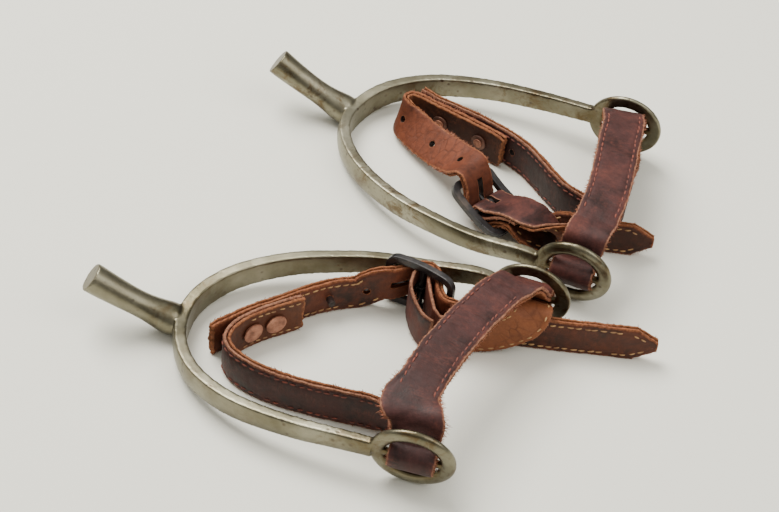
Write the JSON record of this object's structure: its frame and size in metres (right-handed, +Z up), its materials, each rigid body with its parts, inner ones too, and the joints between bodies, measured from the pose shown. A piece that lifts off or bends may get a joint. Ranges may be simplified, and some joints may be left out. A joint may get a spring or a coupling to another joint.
{
  "type": "riding spurs",
  "caption": "Blunt-necked riding spurs lying flat, each a U-shaped metal heel band with strap rings and a buckled leather strap with riveted billet.",
  "frame": {"origin": "on the table, under the middle of the bounding box of both spurs as they lie", "axes": "+Z up from the table, across the boot; the necks point towards -X and the strap rings towards +X; the left spur is at -Y and the right one at +Y"},
  "size_m": [0.1994, 0.201, 0.0313],
  "materials": {
    "spur_metal": "satin, worn nickel with fine scratches and brown pitting",
    "grain_leather": "dark maroon-brown, creased and rubbed",
    "flesh_leather": "tan flesh side with raw edges",
    "billet_leather": "dark brown, cracked",
    "billet_flesh": "reddish tan flesh side",
    "buckle_iron": "black japanned iron, rubbed",
    "prong_iron": "black japanned iron, rubbed",
    "copper_rivet": "dull copper",
    "copper_burr": "dull copper",
    "strap_thread": "waxed red-brown thread",
    "billet_thread": "waxed cream-yellow thread"
  },
  "bodies": {
    "left_spur": {"left_heel_band": "spur_metal", "left_instep_strap": "grain_leather", "left_instep_lining": "flesh_leather", "left_billet_strap": "billet_leather", "left_billet_lining": "billet_flesh", "left_rivets": "copper_rivet", "left_burrs": "copper_burr", "left_strap_stitching": "strap_thread", "left_billet_stitching": "billet_thread"},
    "left_buckle": {"left_buckle_frame": "buckle_iron"},
    "left_prong": {"left_buckle_prong": "prong_iron"},
    "right_spur": {"right_heel_band": "spur_metal", "right_instep_strap": "grain_leather", "right_instep_lining": "flesh_leather", "right_billet_strap": "billet_leather", "right_billet_lining": "billet_flesh", "right_rivets": "copper_rivet", "right_burrs": "copper_burr", "right_strap_stitching": "strap_thread", "right_billet_stitching": "billet_thread"},
    "right_buckle": {"right_buckle_frame": "buckle_iron"},
    "right_prong": {"right_buckle_prong": "prong_iron"}
  },
  "joints": [
    {"name": "right_spur_lift", "type": "slide", "parent": "left_spur", "child": "right_spur", "axis": [0, 0, 1], "range_m": [0, 0.06]},
    {"name": "left_buckle_tilt", "type": "hinge", "parent": "left_spur", "child": "left_buckle", "pos_m": [0.01403, -0.01697, 0.0116], "axis": [0, 0, -1], "range_deg": [-1.5, 1.5]},
    {"name": "left_prong_lift", "type": "hinge", "parent": "left_buckle", "child": "left_prong", "pos_m": [0.01403, -0.01697, 0.0116], "axis": [0, 0, -1], "range_deg": [0, 4]},
    {"name": "right_buckle_tilt", "type": "hinge", "parent": "right_spur", "child": "right_buckle", "pos_m": [0.03618, 0.03476, 0.00687], "axis": [-0.6186, -0.7817, 0.0793], "range_deg": [-1.5, 1.5]},
    {"name": "right_prong_lift", "type": "hinge", "parent": "right_buckle", "child": "right_prong", "pos_m": [0.03618, 0.03476, 0.00687], "axis": [-0.6186, -0.7817, 0.0793], "range_deg": [0, 4]}
  ]
}
